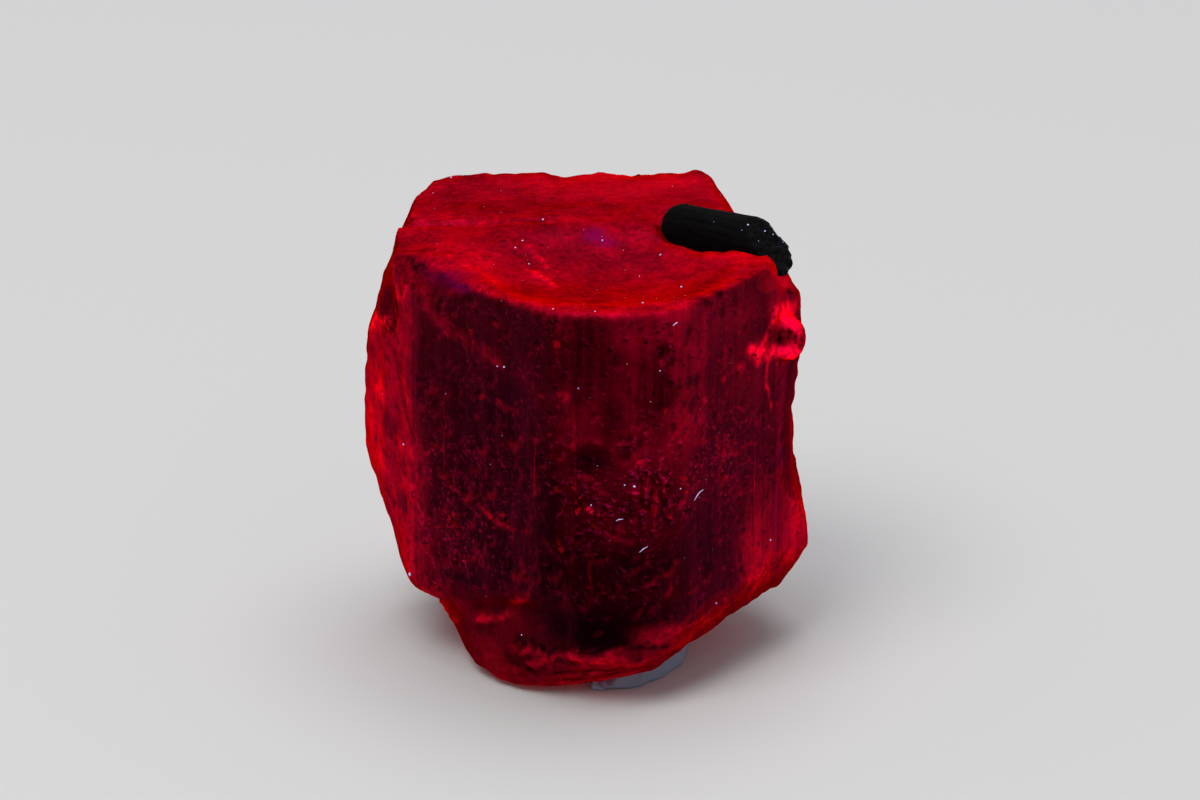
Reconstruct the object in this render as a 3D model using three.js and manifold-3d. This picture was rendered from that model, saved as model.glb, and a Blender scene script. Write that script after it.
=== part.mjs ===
// A single stout crystal of gem scapolite, standing on a pinch of putty.
//
// Units are millimetres, +Z is up and the crystal's length (its c axis) is vertical. -Y is the side
// that shows the front prism faces, +X is to the right of it. The shapes are worked out with the c axis
// on the origin, and the finished group is then moved so that its box is centred over the origin.
//
// Three pieces: the crystal, a black mineral rod lying in a groove across its top right shoulder, and
// the putty that levels its broken foot.

import * as THREE from "three";
import { mergeVertices } from "three/addons/utils/BufferGeometryUtils.js";
import Module from "manifold-3d";

// ---- driving dimensions -------------------------------------------------------------------------

const SEAT_GAP = 0.3; // clearance between pieces that touch

const PRISM_FRONT = -6.8; // y of the front prism face
const PRISM_BACK = 6.8; // y of the back prism face
const TOP_LEVEL = 15.4; // height of the broken top
const CLEAVAGE_STEP = 2.65; // y of the straight step that crosses the top
const FOOT_TOP = 5; // how far the foot is carried up inside the column

// ---- the faces of the crystal --------------------------------------------------------------------
// Each face passes through a point and looks out along an azimuth, measured from +X towards +Y, and an
// elevation, positive when it looks up.

const PRISM_FACES = [
  { name: "front", through: [0, PRISM_FRONT, 8], azimuth: -90, elevation: 0 },
  { name: "front left", through: [-1.0, PRISM_FRONT, 8], azimuth: -134, elevation: 0 },
  { name: "front right", through: [2.9, PRISM_FRONT, 8], azimuth: -38, elevation: 0 },
  { name: "left", through: [-6.45, -1.4, 8], azimuth: -160, elevation: 0 },
  { name: "back left", through: [-8.0, 3.0, 8], azimuth: 148, elevation: 0 },
  { name: "back", through: [0, PRISM_BACK, 8], azimuth: 90, elevation: 0 },
  { name: "back right", through: [8.0, 0.6, 5], azimuth: 20, elevation: 0 },
  { name: "right", through: [6.85, -1.7, 8], azimuth: -27, elevation: 0 },
];

// Breaks that run on through the column into the foot.
const LOWER_FACES = [
  { name: "front chamfer", through: [-0.5, -4.95, 0.1], azimuth: -90, elevation: -40 },
  { name: "right chamfer", through: [3.5, -4.0, 1.0], azimuth: -33, elevation: -26 },
  { name: "back left undercut", through: [-4.0, 6.3, 4.2], azimuth: 118, elevation: -34 },
  { name: "back right undercut", through: [4.0, 6.1, 5.0], azimuth: 62, elevation: -30 },
];

const COLUMN_FACES = [
  ...PRISM_FACES,
  ...LOWER_FACES,
  { name: "broken top", through: [0, 0, TOP_LEVEL], azimuth: 90, elevation: 90 },
  { name: "front left bevel", through: [-6.8, -1.0, 14.15], azimuth: -147, elevation: 36 },
  { name: "left shoulder", through: [-7.95, 2.3, 10.0], azimuth: 178, elevation: 7 },
  { name: "upper left shoulder", through: [-7.35, 2.3, 12.8], azimuth: 178, elevation: 15 },
  { name: "back left corner", through: [-6.0, 6.0, 14.9], azimuth: 146, elevation: 20 },
  { name: "back right shoulder", through: [5.2, 3.8, TOP_LEVEL], azimuth: 17, elevation: 37 },
  { name: "back right corner", through: [4.55, 6.7, 15.2], azimuth: 50, elevation: 20 },
  { name: "right shoulder", through: [7.6, 0.0, 13.7], azimuth: -5, elevation: 27 },
  { name: "right flank", through: [7.7, 0.0, 13.0], azimuth: -5, elevation: 5 },
  { name: "right ledge", through: [6.8, 0.2, 2.1], azimuth: -10, elevation: -87 },
  { name: "right heel", through: [8.0, 0.8, 3.7], azimuth: 5, elevation: -35 },
  { name: "left undercut", through: [-7.85, 2.3, 6.1], azimuth: 185, elevation: -17 },
  { name: "left ledge", through: [-6.2, -1.5, 2.6], azimuth: 190, elevation: -80 },
  { name: "front left chamfer", through: [-4.6, -3.2, 3.3], azimuth: -125, elevation: -40 },
];

// The foot's front left rim meets the floor, and the rest of its underside lifts away.
const FOOT_FACES = [
  ...PRISM_FACES,
  ...LOWER_FACES,
  { name: "foot top", through: [0, 0, FOOT_TOP], azimuth: 90, elevation: 90 },
  { name: "foot right", through: [4.6, -2.0, 2.0], azimuth: 10, elevation: -44 },
  { name: "foot left", through: [-4.6, -1.2, 0], azimuth: -166, elevation: 0 },
  { name: "foot front left", through: [-3.2, -4.35, 0], azimuth: -139, elevation: 8 },
  { name: "foot back left", through: [-3.6, 4.4, 1.0], azimuth: 130, elevation: -30 },
  { name: "foot back right", through: [3.0, 4.4, 1.6], azimuth: 58, elevation: -34 },
  { name: "base left", through: [-2.5, -4.9, 0], azimuth: 90, elevation: -83 },
  { name: "base right", through: [-0.9, -4.9, 0], azimuth: 10, elevation: -73 },
];

// Shell-like breaks: a ball of the given radius bites to the given depth where it is aimed.
const CONCHOIDAL_BREAKS = [
  { name: "left chip", at: [-7.3, 0.2, 12.9], azimuth: -165, elevation: 5, radius: 2.6, depth: 0.35 },
  { name: "right waist", at: [7.9, 0.6, 8.2], azimuth: 0, elevation: 0, radius: 10.0, depth: 0.6 },
  { name: "back break", at: [1.5, 6.8, 9.5], azimuth: 92, elevation: 12, radius: 9.0, depth: 0.9 },
  { name: "back left break", at: [-5.9, 5.2, 6.0], azimuth: 138, elevation: -8, radius: 6.0, depth: 0.6 },
];

// The big shell break that hollows the top in front of the cleavage step.
const TOP_DISH = { x: 0.6, y: -1.7, radius: 10.0, depth: 0.85, stretch: 1.25 };

// Where two or more of these look past the crystal at once, a piece has split away: the slice in front
// of the cleavage step, thinning to nothing at the right, and a slip off the corner behind it.
const LOST_SLICE = [
  { through: [0.1, CLEAVAGE_STEP, TOP_LEVEL], azimuth: 180, elevation: 88.2 },
  { through: [0.1, CLEAVAGE_STEP, TOP_LEVEL], azimuth: -90, elevation: 0 },
];
const LOST_SLIP = [
  { through: [-6.3, CLEAVAGE_STEP, TOP_LEVEL], azimuth: 176, elevation: 21 },
  { through: [-6.3, CLEAVAGE_STEP, TOP_LEVEL], azimuth: 90, elevation: 0 },
];

// The grain grown on to the right-hand edge, with a hollow in its face.
const GRAIN = { at: [7.05, -1.0, 12.3], radius: 0.92 };
const GRAIN_HOLLOW = { azimuth: -60, elevation: 20, radius: 0.75, depth: 0.2 };

// The black rod: a tapering column with a rounded end and a slanting broken one.
const ROD = { at: [2.93, 2.56, 15.4], azimuth: -31, elevation: -1.5, length: 5.3 };
const ROD_RADIUS = { rounded: 0.64, broken: 0.86 };
const ROD_BREAK = { along: 4.2, elevation: 42 };

// The putty: a pinch pressed flat under the foot, thicker to the right.
const PUTTY = { x: 0.55, y: -0.4, halfWidth: 3.2, halfDepth: 4.5, height: 1.9 };

// ---- how finely the round shapes are faceted -----------------------------------------------------

const BITE_STEPS = 56;
const DISH_STEPS = 112;
const GRAIN_STEPS = 20;
const PUTTY_STEPS = 40;
const ROD_STEPS = 18;
const ROD_ROUND_STEPS = 6;

// Blocks this big clear the whole crystal.
const BLOCK = 60;

// ---- solids --------------------------------------------------------------------------------------

const wasm = await Module();
wasm.setup();

function solidOf(geometry) {
  const bare = geometry.clone();
  bare.deleteAttribute("normal");
  bare.deleteAttribute("uv");
  const merged = mergeVertices(bare, 1e-5);
  const vertProperties = new Float32Array(merged.attributes.position.array);
  const triVerts = new Uint32Array(merged.index.array);
  return new wasm.Manifold(new wasm.Mesh({ numProp: 3, vertProperties, triVerts }));
}

function geometryOf(solid) {
  const mesh = solid.getMesh();
  const geometry = new THREE.BufferGeometry();
  geometry.setAttribute("position", new THREE.BufferAttribute(mesh.vertProperties, 3));
  geometry.setIndex(new THREE.BufferAttribute(mesh.triVerts, 1));
  geometry.computeVertexNormals();
  return geometry;
}

function direction(azimuth, elevation) {
  const a = THREE.MathUtils.degToRad(azimuth);
  const e = THREE.MathUtils.degToRad(elevation);
  return new THREE.Vector3(Math.cos(e) * Math.cos(a), Math.cos(e) * Math.sin(a), Math.sin(e));
}

// The block of space outside a face.
function outsideOf({ through, azimuth, elevation }) {
  const outward = direction(azimuth, elevation);
  const block = new THREE.BoxGeometry(BLOCK, BLOCK, BLOCK);
  block.translate(0, 0, BLOCK / 2);
  block.applyQuaternion(new THREE.Quaternion().setFromUnitVectors(new THREE.Vector3(0, 0, 1), outward));
  block.translate(...through);
  return solidOf(block);
}

// The same face, moved out along the way it looks.
function movedOut(face, distance) {
  const shift = direction(face.azimuth, face.elevation).multiplyScalar(distance);
  return { ...face, through: shift.add(new THREE.Vector3(...face.through)).toArray() };
}

// The part of space that lies outside all the given faces at once.
function outsideAll(faces) {
  const blocks = faces.map(outsideOf);
  return blocks.reduce((common, block) => common.intersect(block));
}

function cutBy(faces) {
  let stone = solidOf(new THREE.BoxGeometry(BLOCK, BLOCK, BLOCK));
  for (const face of faces) {
    stone = stone.subtract(outsideOf(face));
  }
  return stone;
}

// The ball that bites a shell-like break of the given depth into a surface point.
function biteOf({ at, azimuth, elevation, radius, depth }) {
  const ball = new THREE.SphereGeometry(radius, BITE_STEPS, BITE_STEPS / 2);
  const centre = direction(azimuth, elevation).multiplyScalar(radius - depth);
  ball.translate(at[0] + centre.x, at[1] + centre.y, at[2] + centre.z);
  return solidOf(ball);
}

function topDish() {
  const { x, y, radius, depth, stretch } = TOP_DISH;
  const ball = new THREE.SphereGeometry(radius, DISH_STEPS, DISH_STEPS / 2);
  ball.rotateX(Math.PI / 2);
  ball.scale(stretch, 1, 1);
  ball.translate(x, y, TOP_LEVEL + radius - depth);
  return solidOf(ball);
}

function grain() {
  const ball = new THREE.SphereGeometry(GRAIN.radius, GRAIN_STEPS, GRAIN_STEPS / 2);
  ball.translate(...GRAIN.at);
  const facing = direction(GRAIN_HOLLOW.azimuth, GRAIN_HOLLOW.elevation).multiplyScalar(GRAIN.radius);
  const at = [GRAIN.at[0] + facing.x, GRAIN.at[1] + facing.y, GRAIN.at[2] + facing.z];
  return solidOf(ball).subtract(biteOf({ ...GRAIN_HOLLOW, at }));
}

// The rod as a turned column from its rounded end; grow makes the groove that holds it.
function rod(grow) {
  const { rounded, broken } = ROD_RADIUS;
  const start = rounded + grow;
  const end = ROD.length + grow;
  const profile = [];
  for (let i = 0; i <= ROD_ROUND_STEPS; i += 1) {
    const turn = (Math.PI / 2) * (i / ROD_ROUND_STEPS);
    profile.push(new THREE.Vector2(start * Math.sin(turn), rounded - start * Math.cos(turn)));
  }
  profile.push(new THREE.Vector2(broken + grow, end));
  profile.push(new THREE.Vector2(0, end));
  const column = new THREE.LatheGeometry(profile, ROD_STEPS);
  const along = direction(ROD.azimuth, ROD.elevation);
  column.applyQuaternion(new THREE.Quaternion().setFromUnitVectors(new THREE.Vector3(0, 1, 0), along));
  column.translate(...ROD.at);
  const at = along.multiplyScalar(ROD_BREAK.along).add(new THREE.Vector3(...ROD.at));
  const slant = { through: at.toArray(), azimuth: ROD.azimuth, elevation: ROD_BREAK.elevation };
  return solidOf(column).subtract(outsideOf(movedOut(slant, grow)));
}

function crystal() {
  const column = cutBy(COLUMN_FACES);
  const foot = cutBy(FOOT_FACES);
  const splits = outsideAll(LOST_SLICE).add(outsideAll(LOST_SLIP));
  let stone = column.add(foot).subtract(splits);
  for (const bite of CONCHOIDAL_BREAKS) {
    stone = stone.subtract(biteOf(bite));
  }
  return stone.subtract(topDish()).add(grain()).subtract(rod(SEAT_GAP));
}

// The lump keeps its clearance from every face of the foot that is pressed into it.
function putty() {
  const dome = new THREE.SphereGeometry(1, PUTTY_STEPS, PUTTY_STEPS / 2);
  dome.rotateX(Math.PI / 2);
  dome.scale(PUTTY.halfWidth, PUTTY.halfDepth, PUTTY.height);
  dome.translate(PUTTY.x, PUTTY.y, 0);
  const belowFloor = outsideOf({ through: [0, 0, 0], azimuth: 90, elevation: -90 });
  const footWithClearance = cutBy(FOOT_FACES.map((face) => movedOut(face, SEAT_GAP)));
  return solidOf(dome).subtract(belowFloor).subtract(footWithClearance);
}

// ---- the group -----------------------------------------------------------------------------------

function piece(name, solid, color, roughness) {
  const material = new THREE.MeshStandardMaterial({ color, roughness, metalness: 0 });
  const mesh = new THREE.Mesh(geometryOf(solid), material);
  mesh.name = name;
  return mesh;
}

const group = new THREE.Group();
group.add(piece("scapolite_crystal", crystal(), 0x8c0a1c, 0.2));
group.add(piece("black_mineral_rod", rod(0), 0x0b0b0d, 0.75));
group.add(piece("putty_pad", putty(), 0xaab4c8, 0.6));

const box = new THREE.Box3().setFromObject(group);
const centre = box.getCenter(new THREE.Vector3());
group.position.set(-centre.x, -centre.y, 0);

export default group;
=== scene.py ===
"""A scapolite crystal's looks: the clear red crystal, its black rod, its putty, its flaws and its dust."""

import math

import bmesh
import bpy
import numpy as np
from bpy.props import FloatProperty, FloatVectorProperty, PointerProperty
from mathutils import Matrix, Vector
from mathutils.bvhtree import BVHTree
from mathutils.kdtree import KDTree


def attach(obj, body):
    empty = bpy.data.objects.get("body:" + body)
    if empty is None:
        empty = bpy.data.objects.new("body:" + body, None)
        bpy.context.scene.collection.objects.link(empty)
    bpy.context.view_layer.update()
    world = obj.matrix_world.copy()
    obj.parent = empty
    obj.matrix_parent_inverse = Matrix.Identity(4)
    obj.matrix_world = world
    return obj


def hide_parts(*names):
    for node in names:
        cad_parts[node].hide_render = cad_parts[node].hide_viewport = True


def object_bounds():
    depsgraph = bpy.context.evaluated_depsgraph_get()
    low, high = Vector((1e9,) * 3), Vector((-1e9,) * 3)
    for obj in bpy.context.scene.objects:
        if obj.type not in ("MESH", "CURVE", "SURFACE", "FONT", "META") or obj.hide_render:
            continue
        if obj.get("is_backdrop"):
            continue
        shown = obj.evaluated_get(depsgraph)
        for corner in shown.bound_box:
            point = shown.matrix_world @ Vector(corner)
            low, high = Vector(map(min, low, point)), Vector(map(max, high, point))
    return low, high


bl_info = {
    "name": "Scapolite Crystal",
    "version": (1, 0, 0),
    "blender": (4, 5, 0),
    "location": "3D View > Sidebar > Scapolite",
    "description": "Builds a clear red scapolite crystal on a pinch of putty",
    "category": "Add Mesh",
}

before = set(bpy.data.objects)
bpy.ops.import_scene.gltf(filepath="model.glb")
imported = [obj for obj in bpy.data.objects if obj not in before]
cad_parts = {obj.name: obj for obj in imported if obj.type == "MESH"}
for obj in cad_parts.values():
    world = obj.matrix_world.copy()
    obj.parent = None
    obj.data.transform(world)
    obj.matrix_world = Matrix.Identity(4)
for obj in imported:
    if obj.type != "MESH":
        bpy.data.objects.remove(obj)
CAD_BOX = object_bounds()
ROOT = "root"

# Shapes are worked out in millimetres, and each finished mesh is brought down to metres.
MM = 0.001

CRYSTAL_NODE = "scapolite_crystal"
ROD_NODE = "black_mineral_rod"
PUTTY_NODE = "putty_pad"
CRYSTAL_PIECE = "crystal_skin"
ROD_PIECE = "black_rod"

# The crystal's prism faces, by the way they look round the upright axis, in degrees.
FRONT, FRONT_LEFT, FRONT_RIGHT = -90, -134, -38
LEFT, BACK_LEFT, BACK, BACK_RIGHT, RIGHT = -160, 148, 90, 20, -27
PRISM = (FRONT, FRONT_LEFT, FRONT_RIGHT, LEFT, BACK_LEFT, BACK, BACK_RIGHT, RIGHT)

# How far off a look at the object starts, in mm, from the side and from above.
SIDE_START, ABOVE_START = 30.0, 40.0

# The angle in degrees past which a piece's edges are shaded sharp.
CRYSTAL_SHARP, ROD_SHARP, PUTTY_SHARP = 38.0, 50.0, 60.0

# The gap that is left between two pieces that touch, in mm, and how near to another piece a point of
# the crystal or of the putty has to be to be drawn up to it.
HAIR_GAP = 0.02
CRYSTAL_REACH, PUTTY_REACH = 0.26, 0.4


# ---- settings ----


def tint(name, description, default):
    return FloatVectorProperty(name=name, description=description, subtype="COLOR", default=default)


def net_step(owner, default):
    text = f"Spacing of the {owner}'s points, in mm"
    return FloatProperty(name="Net step", description=text, default=default, min=0.02, max=1.0)


class ScapoliteCrystal(bpy.types.PropertyGroup):
    voxel: net_step("crystal", 0.113)
    absorption: tint("Depth colour", "Colour that deep crystal keeps", (0.86, 0.02, 0.08))
    density: FloatProperty(
        name="Depth density",
        description="How fast light is lost on its way through, per metre",
        default=2900.0,
    )
    refraction: FloatProperty(name="IOR", description="Refractive index of scapolite", default=1.55)
    # Glow sets the strength of the red glow painted on the crystal as emission, which stands in for the
    # fluorescence that a lamp lit.
    glow: FloatProperty(name="Glow", description="Strength of the red fluorescence", default=1.0, min=0.0)


class ScapoliteRod(bpy.types.PropertyGroup):
    voxel: net_step("rod", 0.038)
    color: tint("Colour", "Colour of the black mineral", (0.0010, 0.0009, 0.0013))


class ScapolitePutty(bpy.types.PropertyGroup):
    voxel: net_step("putty", 0.08)
    color: tint("Colour", "Colour of the putty", (0.28, 0.33, 0.45))


class ScapoliteStage(bpy.types.PropertyGroup):
    floor_color: tint("Floor", "Colour of the floor", (0.72, 0.715, 0.71))
    key_power: FloatProperty(
        name="Key light", description="Power of the key light", default=0.8, subtype="POWER"
    )


# ---- numbers and nets ----


def array_of(collection, key, width, kind=np.float32):
    values = np.empty(len(collection) * width, kind)
    collection.foreach_get(key, values)
    return values.reshape(-1, width)


def points_of(mesh):
    return array_of(mesh.vertices, "co", 3).astype(float)


def normals_of(mesh):
    return array_of(mesh.vertex_normals, "vector", 3).astype(float)


def edges_of(mesh):
    return array_of(mesh.edges, "vertices", 2, np.int32)


def move_points(mesh, points):
    mesh.vertices.foreach_set("co", points.astype(np.float32).ravel())
    mesh.update()


def relaxed(values, edges, rounds):
    """Values on a mesh's points, each drawn halfway to the mean of its neighbours, round by round."""
    count = np.bincount(edges.ravel(), minlength=len(values)).astype(float)
    count = np.maximum(count, 1)
    out = values.astype(float).reshape(len(values), -1)
    for _ in range(rounds):
        mean = np.empty_like(out)
        for k in range(out.shape[1]):
            near = np.bincount(edges[:, 0], out[edges[:, 1], k], len(out))
            near += np.bincount(edges[:, 1], out[edges[:, 0], k], len(out))
            mean[:, k] = near / count
        out = (out + mean) / 2
    return out.reshape(values.shape)


def smoothstep(low, high, x):
    t = np.clip((x - low) / (high - low), 0, 1)
    return t * t * (3 - 2 * t)


def bell(x):
    """1 at nought, falling smoothly away on both sides."""
    return np.exp(-(x**2))


def unit(v):
    v = np.asarray(v, float)
    return v / np.maximum(np.linalg.norm(v, axis=-1, keepdims=True), 1e-12)


def direction(azimuth, elevation=0.0):
    a, e = math.radians(azimuth), math.radians(elevation)
    return np.array([math.cos(e) * math.cos(a), math.cos(e) * math.sin(a), math.sin(e)])


class Noise:
    """Smooth random heights in space, from -1 to 1, the same on every run."""

    CELLS = 256

    def __init__(self, seed):
        rng = np.random.default_rng(seed)
        order = rng.permutation(self.CELLS)
        self.order = np.concatenate([order, order, order])
        self.slopes = unit(rng.normal(size=(self.CELLS, 3)))

    def __call__(self, points, size=1.0):
        p = points / size
        cell = np.floor(p).astype(int)
        part = p - cell
        weight = part**3 * (part * (part * 6 - 15) + 10)
        cell &= self.CELLS - 1
        total = np.zeros(len(p))
        for corner in np.ndindex(2, 2, 2):
            i = (cell + corner) & (self.CELLS - 1)
            pick = self.order[self.order[self.order[i[:, 0]] + i[:, 1]] + i[:, 2]]
            height = ((part - corner) * self.slopes[pick]).sum(1)
            total += np.where(corner, weight, 1 - weight).prod(1) * height
        return np.clip(total * 1.7, -1, 1)

    def layers(self, points, size, count=3, fade=0.5):
        """Several sizes of the noise, each half as wide as the last and weaker by fade."""
        total, most = np.zeros(len(points)), 0.0
        for k in range(count):
            total += self(points + 17.3 * k, size / 2**k) * fade**k
            most += fade**k
        return total / most


def drift(points, seed, size, count=3):
    """A smooth random push for each point, its three ways from three seeds."""
    return np.stack([Noise(seed + k).layers(points, size, count, 0.6) for k in range(3)], axis=1)


def mesh_from(name, points, faces):
    mesh = bpy.data.meshes.new(name)
    mesh.from_pydata(np.asarray(points).tolist(), [], [list(f) for f in faces])
    mesh.update()
    return mesh


def cad_surface(node):
    """A CAD node's points in millimetres and its triangles, with doubled points joined."""
    bm = bmesh.new()
    bm.from_mesh(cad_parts[node].data)
    bmesh.ops.remove_doubles(bm, verts=bm.verts, dist=5e-7)
    bmesh.ops.triangulate(bm, faces=bm.faces)
    bm.verts.index_update()
    points = np.array([v.co for v in bm.verts]) / MM
    faces = np.array([[v.index for v in f.verts] for f in bm.faces])
    bm.free()
    return points, faces


def net_over(node, name, step):
    """An even net of quads over a CAD node, and the node's own surface."""
    points, faces = cad_surface(node)
    rough = mesh_from(name, points, faces)
    holder = bpy.data.objects.new(name, rough)
    bpy.context.scene.collection.objects.link(holder)
    remesh = holder.modifiers.new("net", "REMESH")
    remesh.mode = "VOXEL"
    remesh.voxel_size = step
    depsgraph = bpy.context.evaluated_depsgraph_get()
    net = bpy.data.meshes.new_from_object(holder.evaluated_get(depsgraph))
    bpy.data.objects.remove(holder)
    bpy.data.meshes.remove(rough)
    return net, BVHTree.FromPolygons(points.tolist(), faces.tolist())


def creases_of(points, faces, angle, spacing):
    """Points along the sharp edges of a faceted surface, and the two face normals that meet there."""
    a, b, c = (points[faces[:, k]] for k in range(3))
    normals = unit(np.cross(b - a, c - a))
    sides = {}
    for index, face in enumerate(faces.tolist()):
        for a, b in zip(face, face[1:] + face[:1]):
            sides.setdefault((min(a, b), max(a, b)), []).append(index)
    limit = math.cos(math.radians(angle))
    spots, first, second = [], [], []
    for (a, b), pair in sides.items():
        if len(pair) != 2 or normals[pair[0]] @ normals[pair[1]] > limit:
            continue
        steps = max(2, int(np.linalg.norm(points[b] - points[a]) / spacing) + 1)
        for t in np.linspace(0, 1, steps):
            spots.append(points[a] * (1 - t) + points[b] * t)
            first.append(normals[pair[0]])
            second.append(normals[pair[1]])
    return np.array(spots), np.array(first), np.array(second)


def tree_of(spots):
    tree = KDTree(len(spots))
    for index, spot in enumerate(spots):
        tree.insert(spot, index)
    tree.balance()
    return tree


def nearest(tree, points):
    """For each point, the index of the nearest spot in the tree and how far off it is."""
    found = [tree.find(p) for p in points]
    return np.array([f[1] for f in found]), np.array([f[2] for f in found])


def weld(mesh, distance):
    bm = bmesh.new()
    bm.from_mesh(mesh)
    bmesh.ops.remove_doubles(bm, verts=bm.verts, dist=distance)
    bmesh.ops.dissolve_degenerate(bm, edges=bm.edges, dist=distance * 0.1)
    bm.to_mesh(mesh)
    bm.free()


def keep_values(mesh, name, values):
    """Stores a number on each point, for a material to read."""
    layer = mesh.attributes.new(name, "FLOAT", "POINT")
    layer.data.foreach_set("value", values.astype(np.float32))


def shade(mesh, sharp_angle):
    """Smooth shading, broken where two faces meet at more than the given angle."""
    mesh.shade_smooth()
    bm = bmesh.new()
    bm.from_mesh(mesh)
    limit = math.radians(sharp_angle)
    for edge in bm.edges:
        edge.smooth = not (edge.is_manifold and edge.calc_face_angle(0.0) > limit)
    bm.to_mesh(mesh)
    bm.free()


class Surface:
    """A mesh's surface in millimetres, and the places on it that are seen from the front and from above."""

    def __init__(self, mesh, scale=1.0):
        polygons = [tuple(polygon.vertices) for polygon in mesh.polygons]
        self.tree = BVHTree.FromPolygons((points_of(mesh) / scale).tolist(), polygons)

    def meet(self, start, look):
        """The place where a look first meets the surface, or else comes near it, and the normal there."""
        start, look = Vector(start), Vector(look)
        place, normal = self.tree.ray_cast(start, look)[:2]
        if place is None:
            place, normal = self.tree.find_nearest(start + look * SIDE_START)[:2]
        return np.array(place), np.array(normal)

    def from_front(self, x, z):
        return self.meet((x, -SIDE_START, z), (0, 1, 0))

    def from_above(self, x, y):
        return self.meet((x, y, ABOVE_START), (0, 0, -1))

    def holds(self, point, margin):
        """Whether a point is inside the surface, and at least the margin from it."""
        place, normal, _, far = self.tree.find_nearest(Vector(point))
        return far > margin and (Vector(point) - place).dot(normal) < 0

    def draw_in(self, points, reach):
        """The points, those within reach of the surface drawn up to a hair's gap from it."""
        out = points.copy()
        for index, point in enumerate(points):
            place, normal, _, far = self.tree.find_nearest(point, reach)
            if place is None:
                continue
            outside = (Vector(point) - place).dot(normal) > 0
            share = 1 - float(smoothstep(reach * 0.65, reach, far)) if outside else 1.0
            out[index] += (np.array(place + normal * HAIR_GAP) - point) * share
        return out


def surface_of(piece):
    return Surface(bpy.data.objects[piece].data, MM)


def piece_from(mesh, name, material, node=None):
    """Puts a mesh made in millimetres into the part as a piece of its own."""
    mesh.transform(Matrix.Scale(MM, 4))
    mesh.materials.clear()
    mesh.materials.append(material)
    piece = bpy.data.objects.new(name, mesh)
    bpy.context.scene.collection.objects.link(piece)
    if node:
        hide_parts(node)
    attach(piece, ROOT)
    return piece


class Heap:
    """Many small closed shapes, gathered in millimetres into one mesh."""

    SIDES = 6

    def __init__(self):
        self.points = []
        self.faces = []

    def add(self, points, faces):
        base = len(self.points)
        self.points += [tuple(p) for p in points]
        self.faces += [tuple(base + i for i in face) for face in faces]

    def tube(self, path, radius):
        """A rod of even thickness along a path, drawn in at both ends."""
        sides = self.SIDES
        path = np.array(path)
        along = unit(np.gradient(path, axis=0))
        side = unit(np.cross(along, [0.31, 0.17, 0.93]))
        other = np.cross(along, side)
        turns = np.linspace(0, 2 * np.pi, sides, endpoint=False)
        thick = np.full(len(path), radius)
        thick[[0, -1]] *= 0.5
        rings = [
            path[k] + thick[k] * (np.outer(np.cos(turns), side[k]) + np.outer(np.sin(turns), other[k]))
            for k in range(len(path))
        ]
        last = (len(path) - 1) * sides
        faces = []
        for low in range(0, last, sides):
            for i in range(sides):
                j = (i + 1) % sides
                faces.append((low + i, low + j, low + sides + j, low + sides + i))
        faces += [range(sides - 1, -1, -1), range(last, last + sides)]
        self.add(np.concatenate(rings), faces)

    def flake(self, centre, normal, reach, rng, bend=0.0, detail=2):
        """A rounded flake: reach is its half width, half length and half thickness."""
        ball = bmesh.new()
        bmesh.ops.create_icosphere(ball, subdivisions=detail, radius=1.0)
        points = np.array([v.co for v in ball.verts])
        faces = [[v.index for v in f.verts] for f in ball.faces]
        ball.free()
        points *= 1 + 0.22 * rng.normal(size=(len(points), 1)).clip(-1.5, 1.5) / detail
        points = points * reach
        points[:, 2] += bend * ((points[:, :2] / reach[0]) ** 2).sum(1)
        normal = unit(normal)
        side = unit(np.cross(normal, unit(rng.normal(size=3))))
        self.add(centre + points @ np.stack([side, np.cross(normal, side), normal]), faces)

    def piece(self, name, material, slot=None):
        mesh = mesh_from(name, self.points, self.faces)
        mesh.shade_smooth()
        piece_from(mesh, name, material)


# ---- materials ----


class Wire:
    """A value on its way through a material's nodes. Arithmetic on it adds Math nodes."""

    def __init__(self, nodes, socket):
        self.nodes = nodes
        self.socket = socket

    def math(self, operation, *others):
        values = dict(enumerate((self, *others)))
        return self.nodes.add("ShaderNodeMath", {"operation": operation}, values)

    def __add__(self, other):
        return self.math("ADD", other)

    __radd__ = __add__

    def __mul__(self, other):
        return self.math("MULTIPLY", other)

    __rmul__ = __mul__

    def __sub__(self, other):
        return self.math("SUBTRACT", other)

    def __rsub__(self, other):
        return self.math("MULTIPLY_ADD", -1.0, other)

    def between(self, low, high):
        """0 below low, 1 above high and a smooth rise from one to the other."""
        values = {"Value": self, "From Min": low, "From Max": high}
        return self.nodes.add("ShaderNodeMapRange", {"interpolation_type": "SMOOTHSTEP"}, values)

    def held(self):
        """This value, held between 0 and 1."""
        return self.nodes.add("ShaderNodeMapRange", None, {"Value": self, "From Min": 0.0, "From Max": 1.0})

    def mix(self, first, second):
        """A colour from first to second as this value goes from 0 to 1."""
        values = {0: self, 6: first, 7: second}
        return self.nodes.add("ShaderNodeMix", {"data_type": "RGBA"}, values, out=2)

    def vector(self, operation, other):
        return self.nodes.add("ShaderNodeVectorMath", {"operation": operation}, {0: self, 1: other})


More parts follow.
